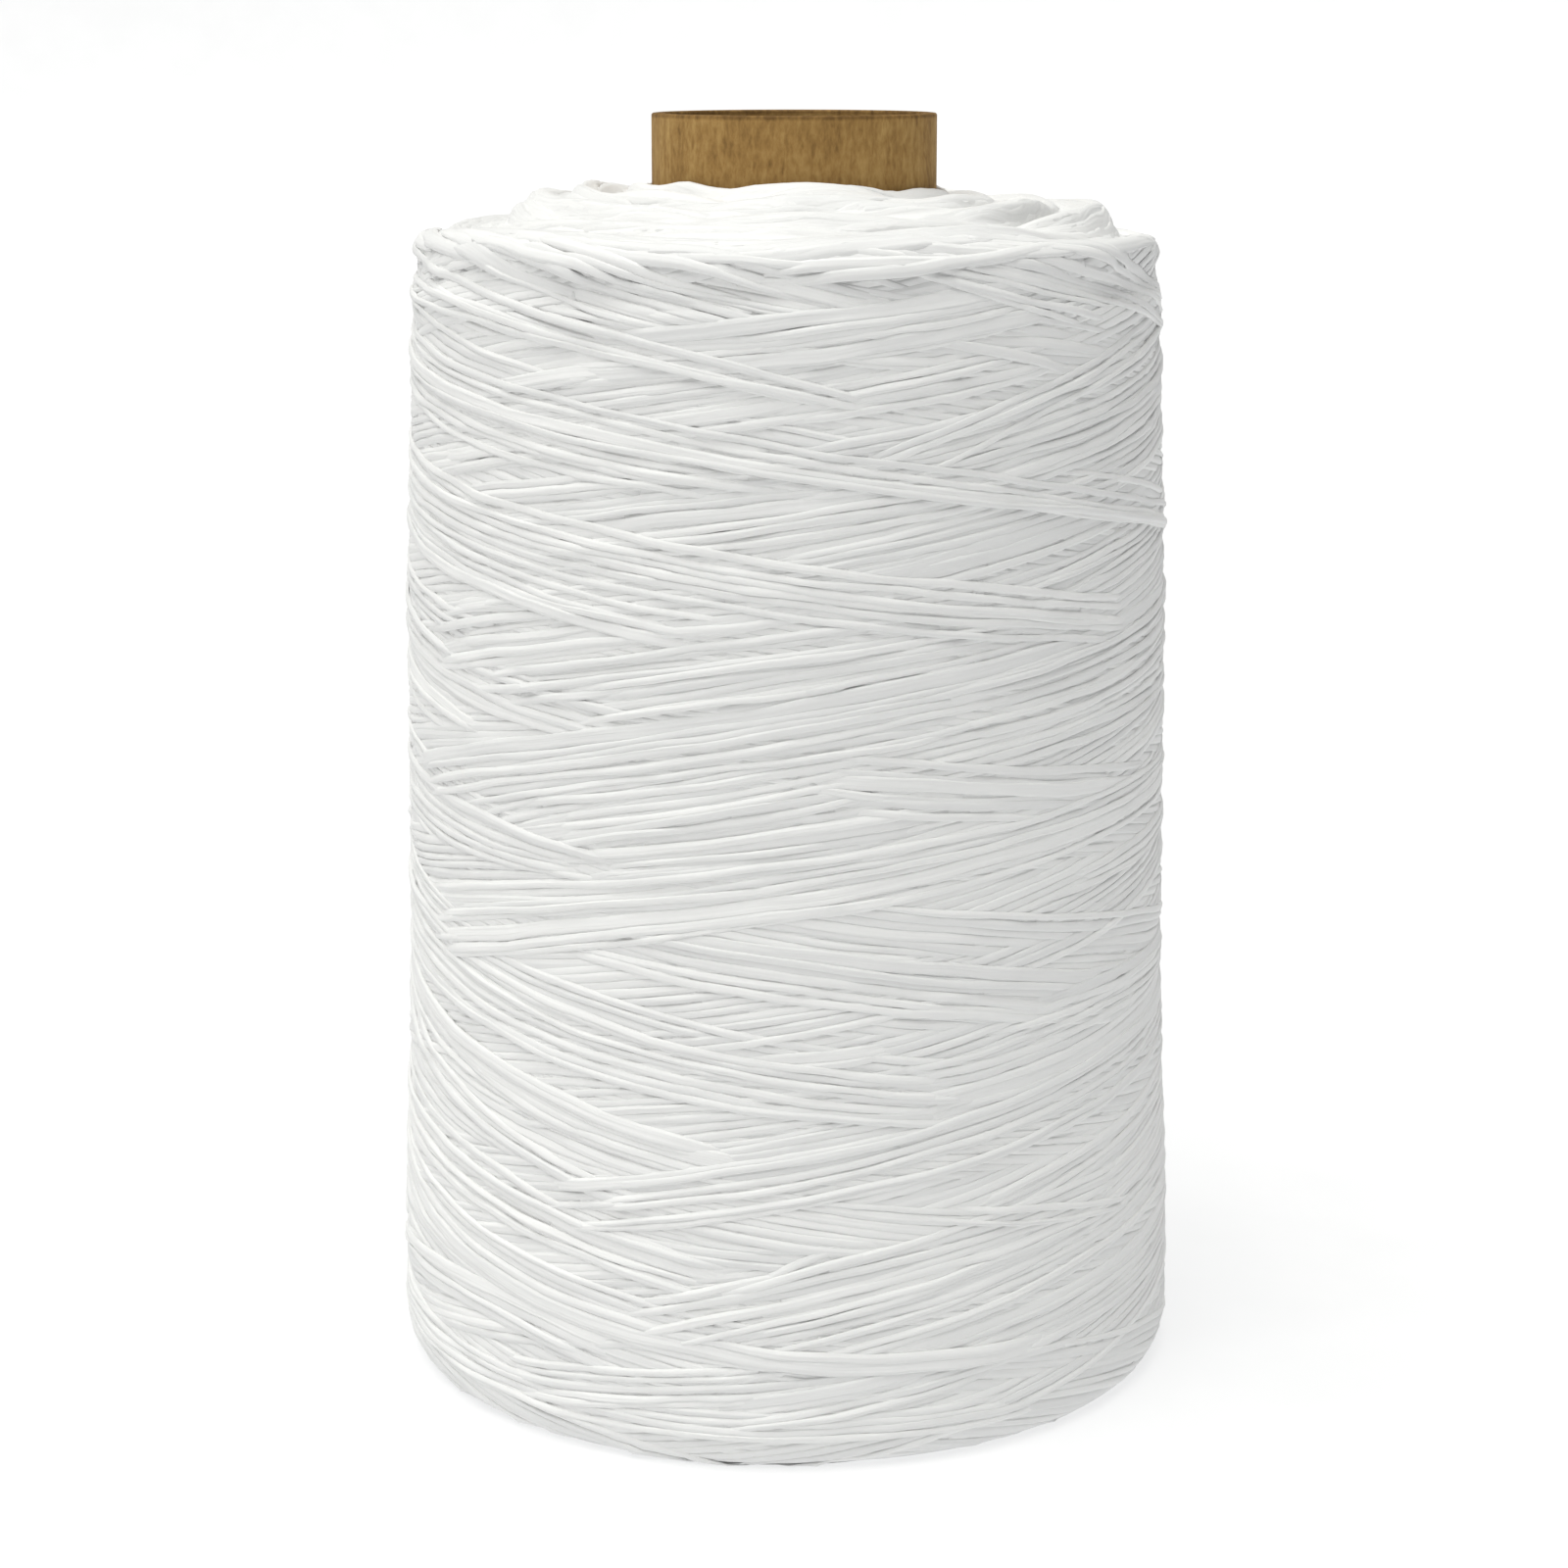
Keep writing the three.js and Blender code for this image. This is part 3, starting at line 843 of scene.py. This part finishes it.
class Socket:
    """A socket of a node tree that takes part in sums as a number does."""

    def __init__(self, tree, link):
        self.tree, self.link = tree, link

    def math(self, operation, *values):
        node = self.tree.nodes.new("ShaderNodeMath")
        node.operation = operation
        for socket, value in zip(node.inputs, values):
            plug(self.tree, socket, value)
        return Socket(self.tree, node.outputs[0])

    def __add__(self, other):
        return self.math("ADD", self, other)

    def __sub__(self, other):
        return self.math("SUBTRACT", self, other)

    def __rsub__(self, other):
        return self.math("SUBTRACT", other, self)

    def __mul__(self, other):
        return self.math("MULTIPLY", self, other)

    __radd__ = __add__
    __rmul__ = __mul__


def plug(tree, socket, value):
    if isinstance(value, Socket):
        tree.links.new(value.link, socket)
    else:
        socket.default_value = value


class Finish:
    """One material and the nodes that make it."""

    def __init__(self, name):
        self.material = bpy.data.materials.new(name)
        self.material.use_nodes = True
        self.tree = self.material.node_tree
        self.tree.nodes.clear()

    def node(self, kind, settings=None, inputs=None, output=0):
        node = self.tree.nodes.new(kind)
        for key, value in (settings or {}).items():
            if key == "stops":
                set_stops(node.color_ramp, value)
            else:
                setattr(node, key, value)
        for key, value in (inputs or {}).items():
            plug(self.tree, node.inputs[key], value)
        return Socket(self.tree, node.outputs[output])

    def shader(self, inputs):
        shader = self.node("ShaderNodeBsdfPrincipled", inputs=inputs)
        output = self.tree.nodes.new("ShaderNodeOutputMaterial")
        self.tree.links.new(shader.link, output.inputs["Surface"])
        return self.material


def set_stops(ramp, stops):
    while len(ramp.elements) < len(stops):
        ramp.elements.new(0.5)
    for element, (place, colour) in zip(ramp.elements, stops):
        element.position = place
        element.color = colour


def paper_finish():
    """White crimped paper: fine fibres and creases that run along the strand."""
    finish = Finish("white_paper_raffia")
    place = finish.node("ShaderNodeUVMap", {"uv_map": "fibres"})
    pleated = finish.node("ShaderNodeMapping", {}, {"Vector": place, "Scale": (28, 1500, 1)})
    pleats = finish.node("ShaderNodeTexNoise", {"noise_dimensions": "2D"},
                         {"Vector": pleated, "Scale": 1.0, "Detail": 1.0, "Roughness": 0.5})
    long = finish.node("ShaderNodeMapping", {}, {"Vector": place, "Scale": (90, 2800, 1)})
    fibres = finish.node("ShaderNodeTexNoise", {"noise_dimensions": "2D"},
                         {"Vector": long, "Scale": 1.0, "Detail": 3.0, "Roughness": 0.55})
    short = finish.node("ShaderNodeMapping", {}, {"Vector": place, "Scale": (420, 1100, 1)})
    crinkle = finish.node("ShaderNodeTexNoise", {"noise_dimensions": "2D"},
                          {"Vector": short, "Scale": 1.0, "Detail": 2.0, "Roughness": 0.5})
    height = pleats * 0.65 + fibres * 0.25 + crinkle * 0.1
    bump = finish.node("ShaderNodeBump", {}, {"Height": height, "Strength": 0.8, "Distance": 0.0003})
    tone = finish.node("ShaderNodeAttribute", {"attribute_name": "tone"}, output=2)
    shade = fibres * 0.35 + tone * 0.65
    colour = finish.node("ShaderNodeValToRGB", {"stops": [
        (0.2, (0.735, 0.738, 0.735, 1)), (0.8, (0.795, 0.797, 0.79, 1))]}, {"Fac": shade})
    return finish.shader({"Base Color": colour, "Roughness": 0.55, "Normal": bump,
                          "Specular IOR Level": 0.15})


def bed_finish():
    """The turns deep in the winding, glimpsed between strands."""
    finish = Finish("inner_paper")
    place = finish.node("ShaderNodeTexCoord", output=3)
    noise = finish.node("ShaderNodeTexNoise", {}, {"Vector": place, "Scale": 900.0, "Detail": 2.0})
    colour = finish.node("ShaderNodeValToRGB", {"stops": [
        (0.3, (0.72, 0.723, 0.72, 1)), (0.7, (0.785, 0.787, 0.78, 1))]}, {"Fac": noise})
    return finish.shader({"Base Color": colour, "Roughness": 0.7})


# The tube's upper edge is painted darker, as painted shade, from this far below it, and fully from the
# second
RIM_SHADE_FROM = 0.75
RIM_SHADE_TO = 0.3


def kraft_finish():
    """Brown kraft board with short upright fibres, and painted shade darkening its upper edge."""
    finish = Finish("kraft_cardboard")
    place = finish.node("ShaderNodeTexCoord", output=3)
    upright = finish.node("ShaderNodeMapping", {}, {"Vector": place, "Scale": (1500, 1500, 620)})
    fibres = finish.node("ShaderNodeTexNoise", {}, {"Vector": upright, "Scale": 1.0, "Detail": 4.0,
                                                    "Roughness": 0.6})
    broad = finish.node("ShaderNodeTexNoise", {}, {"Vector": place, "Scale": 130.0, "Detail": 3.0})
    stripe = finish.node("ShaderNodeMapping", {}, {"Vector": place, "Scale": (700, 700, 60)})
    stripes = finish.node("ShaderNodeTexNoise", {}, {"Vector": stripe, "Scale": 1.0, "Detail": 2.0})
    fleck = finish.node("ShaderNodeMapping", {}, {"Vector": place, "Scale": (900, 900, 380)})
    flecks = finish.node("ShaderNodeTexNoise", {}, {"Vector": fleck, "Scale": 1.0, "Detail": 1.0})
    dark = finish.node("ShaderNodeMapRange", {}, {"Value": flecks, "From Min": 0.62, "From Max": 0.74})
    where = finish.node("ShaderNodeSeparateXYZ", {}, {"Vector": place}, output=2)
    # Painted shade: the kraft darkens towards the tube's upper rim, so that the rim shows no lighter
    # than the wall
    painted_rim_shade = finish.node("ShaderNodeMapRange", {}, {
        "Value": where, "From Min": (TUBE_HEIGHT - RIM_SHADE_FROM) * MM,
        "From Max": (TUBE_HEIGHT - RIM_SHADE_TO) * MM})
    shade = fibres * 0.5 + broad * 0.35 + stripes * 0.25 - dark * 0.1 - painted_rim_shade * 0.2
    colour = finish.node("ShaderNodeValToRGB", {"stops": [
        (0.28, (0.135, 0.071, 0.019, 1)), (0.52, (0.30, 0.172, 0.052, 1)),
        (0.74, (0.45, 0.29, 0.102, 1))]}, {"Fac": shade})
    bump = finish.node("ShaderNodeBump", {}, {"Height": fibres, "Strength": 0.4, "Distance": 0.0003})
    return finish.shader({"Base Color": colour, "Roughness": 0.82, "Normal": bump,
                          "Specular IOR Level": 0.25})


# Pieces modelled by hand

def deselect():
    if bpy.context.object and bpy.context.object.mode != "OBJECT":
        bpy.ops.object.mode_set(mode="OBJECT")
    bpy.ops.object.select_all(action="DESELECT")


def select_faces(piece, wanted):
    """In edit mode, selects the faces of which wanted(centre, normal) is true."""
    bpy.ops.object.mode_set(mode="OBJECT")
    for vertex in piece.data.vertices:
        vertex.select = False
    for edge in piece.data.edges:
        edge.select = False
    for face in piece.data.polygons:
        face.select = bool(wanted(face.center, face.normal))
    bpy.ops.object.mode_set(mode="EDIT")


def select_edges(piece, wanted):
    """In edit mode, selects the edges of which wanted(end, end) is true."""
    bpy.ops.object.mode_set(mode="OBJECT")
    for face in piece.data.polygons:
        face.select = False
    for vertex in piece.data.vertices:
        vertex.select = False
    for edge in piece.data.edges:
        ends = [piece.data.vertices[i].co for i in edge.vertices]
        edge.select = bool(wanted(*ends))
    bpy.ops.object.mode_set(mode="EDIT")


def make_tube():
    """A cylinder, inset and bridged into a tube, with softened rims."""
    deselect()
    bpy.ops.mesh.primitive_cylinder_add(
        vertices=144, radius=TUBE_RADIUS * MM, depth=TUBE_HEIGHT * MM, end_fill_type="NGON",
        location=(TUBE_X * MM, 0, TUBE_HEIGHT * MM / 2))
    tube = bpy.context.object
    tube.name = "cardboard_tube_wall"
    bpy.ops.object.transform_apply(location=True, rotation=True, scale=True)
    bpy.ops.object.mode_set(mode="EDIT")
    bpy.ops.mesh.select_mode(type="FACE")
    select_faces(tube, lambda centre, normal: abs(normal.z) > 0.9)
    bpy.ops.mesh.inset(thickness=TUBE_WALL * MM)
    bpy.ops.mesh.bridge_edge_loops()
    bpy.ops.mesh.select_mode(type="EDGE")
    top, low = TUBE_HEIGHT * MM - 1e-5, 1e-5

    def on_rim(a, b):
        level = a.z > top and b.z > top or a.z < low and b.z < low
        from_middle = [math.hypot(end.x - TUBE_X * MM, end.y) for end in (a, b)]
        return level and abs(from_middle[0] - from_middle[1]) < 1e-5

    select_edges(tube, on_rim)
    bpy.ops.mesh.bevel(offset=TUBE_RIM_ROUNDING * MM, segments=3, profile=0.6)
    bpy.ops.object.mode_set(mode="OBJECT")
    bpy.ops.object.shade_smooth_by_angle(angle=math.radians(40))
    return tube


def make_bed():
    """The turns beneath the ones that show: the section's outline, extruded point by point
    and spun round the roll, then set just under the strands."""
    deselect()
    bpy.ops.mesh.primitive_plane_add(size=MM, location=(0, 0, 0))
    bed = bpy.context.object
    bed.name = "raffia_bed"
    bpy.ops.object.mode_set(mode="EDIT")
    bpy.ops.mesh.select_all(action="SELECT")
    bpy.ops.mesh.merge(type="CENTER")
    outline = np.stack([RADIUS, np.zeros(len(EVEN)), HEIGHT], axis=1)[::BED_EVERY] * MM
    bpy.ops.transform.translate(value=outline[0])
    for step in np.diff(outline, axis=0):
        bpy.ops.mesh.extrude_region_move(TRANSFORM_OT_translate={"value": step})
    bpy.ops.mesh.select_all(action="SELECT")
    bpy.ops.mesh.spin(steps=BED_STEPS, angle=2 * math.pi, center=(0, 0, 0), axis=(0, 0, 1))
    bpy.ops.mesh.select_all(action="SELECT")
    bpy.ops.mesh.remove_doubles(threshold=0.00001)
    bpy.ops.mesh.select_all(action="DESELECT")
    bpy.ops.mesh.select_non_manifold()
    bpy.ops.mesh.bridge_edge_loops()
    bpy.ops.mesh.select_all(action="SELECT")
    bpy.ops.mesh.normals_make_consistent(inside=False)
    bpy.ops.object.mode_set(mode="OBJECT")
    points = np.zeros(len(bed.data.vertices) * 3)
    bed.data.vertices.foreach_get("co", points)
    points = points.reshape(-1, 3)
    degrees = np.degrees(np.arctan2(points[:, 0], -points[:, 1]))
    spots = np.hypot(points[:, 0], points[:, 1])[:, None], points[:, 2:3]
    away = np.hypot(spots[0] - outline[None, :, 0], spots[1] - outline[None, :, 2])
    s = EVEN[::BED_EVERY][away.argmin(axis=1)]
    under = lowest(winding.top, int(BED_REACH / STEP_S))
    low = under[winding.cell(degrees, s)] + winding.sags[-1][winding.cell(degrees, s)]
    rise = winding.settled(degrees, s, low, -1) - BED_DEPTH
    bed.data.vertices.foreach_set("co", surface(degrees, s, rise).reshape(-1))
    bed.data.update()
    bpy.ops.object.shade_smooth()
    return bed


def dress(piece, finish, node):
    piece.data.materials.clear()
    piece.data.materials.append(finish)
    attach(piece, "root")
    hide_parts(node)


paper, inner_paper, kraft = paper_finish(), bed_finish(), kraft_finish()
dress(make_bed(), inner_paper, "raffia_winding")
for piece in make_strands():
    dress(piece, paper, "raffia_winding")
dress(make_tube(), kraft, "cardboard_tube")


# Stage

WORLD_LIGHT = 0.06
KEY_FROM = (-0.18, -0.17, 0.97)
KEY_STRENGTH = 3.8
KEY_SOFTNESS = 60
FLOOR_GLOW = 0.8

# The wall and floor shine brighter ahead of the roll, to its left, and dimmer on its right,
# each beyond what the camera sees
AHEAD = (-0.42, -0.9, 0)
ASIDE = (1, -0.5, 0)

# The floor and the wall round it, in metres
FLOOR_RADIUS = 1.3
WALL_CURVE = 0.4
WALL_STEPS = 8
WALL_HEIGHT = 0.15


def make_floor():
    """A pale round floor that curves up into a wall all round."""
    deselect()
    bpy.ops.mesh.primitive_circle_add(vertices=128, radius=FLOOR_RADIUS, fill_type="NGON",
                                      location=(0, 0, 0))
    floor = bpy.context.object
    floor.name = "floor"
    bpy.ops.object.mode_set(mode="EDIT")
    bpy.ops.mesh.select_mode(type="EDGE")
    bpy.ops.mesh.select_all(action="SELECT")
    bpy.ops.mesh.region_to_loop()
    radius, height = FLOOR_RADIUS, 0.0
    for step in range(1, WALL_STEPS + 1):
        angle = step / WALL_STEPS * math.pi / 2
        wide = FLOOR_RADIUS + WALL_CURVE * math.sin(angle)
        high = WALL_CURVE * (1 - math.cos(angle))
        bpy.ops.mesh.extrude_region_move(TRANSFORM_OT_translate={"value": (0, 0, high - height)})
        scale = wide / radius
        bpy.ops.transform.resize(value=(scale, scale, 1))
        radius, height = wide, high
    bpy.ops.mesh.extrude_region_move(TRANSFORM_OT_translate={"value": (0, 0, WALL_HEIGHT)})
    bpy.ops.mesh.select_all(action="SELECT")
    bpy.ops.mesh.normals_make_consistent(inside=True)
    bpy.ops.object.mode_set(mode="OBJECT")
    bpy.ops.object.shade_smooth_by_angle(angle=math.radians(30))
    finish = Finish("pale_floor")
    place = finish.node("ShaderNodeTexCoord", output=3)
    grain = finish.node("ShaderNodeTexNoise", {}, {"Vector": place, "Scale": 40.0})
    colour = finish.node("ShaderNodeValToRGB", {"stops": [
        (0.3, (0.29, 0.29, 0.29, 1)), (0.7, (0.31, 0.31, 0.31, 1))]}, {"Fac": grain})
    ahead = finish.node("ShaderNodeVectorMath", {"operation": "DOT_PRODUCT"},
                        {0: place, 1: AHEAD}, output=1)
    aside = finish.node("ShaderNodeVectorMath", {"operation": "DOT_PRODUCT"},
                        {0: place, 1: ASIDE}, output=1)
    bright = finish.node("ShaderNodeMapRange", {}, {"Value": ahead, "From Min": 0.2, "From Max": 0.6})
    dim = finish.node("ShaderNodeMapRange", {}, {"Value": aside, "From Min": 0.28, "From Max": 0.6})
    glow = finish.node("ShaderNodeValToRGB", {"stops": [
        (0, (0.63, 0.64, 0.655, 1)), (0.5, (0.829, 0.834, 0.8375, 1)),
        (1, (0.97, 0.967, 0.95, 1))]}, {"Fac": 0.5 + bright * 0.5 - dim * 0.5})
    floor.data.materials.append(finish.shader({
        "Base Color": colour, "Roughness": 0.9, "Specular IOR Level": 0.1,
        "Emission Color": glow, "Emission Strength": FLOOR_GLOW}))


def light_studio():
    world = bpy.data.worlds.new("studio")
    world.use_nodes = True
    background = world.node_tree.nodes["Background"]
    background.inputs["Color"].default_value = (1.0, 1.0, 1.0, 1)
    background.inputs["Strength"].default_value = WORLD_LIGHT
    bpy.context.scene.world = world
    bpy.context.scene.view_settings.view_transform = "Standard"
    data = bpy.data.lights.new("key", "SUN")
    data.energy = KEY_STRENGTH
    data.angle = math.radians(KEY_SOFTNESS)
    data.color = (1.0, 0.998, 0.97)
    key = bpy.data.objects.new("key", data)
    bpy.context.scene.collection.objects.link(key)
    key.rotation_euler = (-Vector(KEY_FROM)).to_track_quat("-Z", "Y").to_euler()


make_floor()
light_studio()
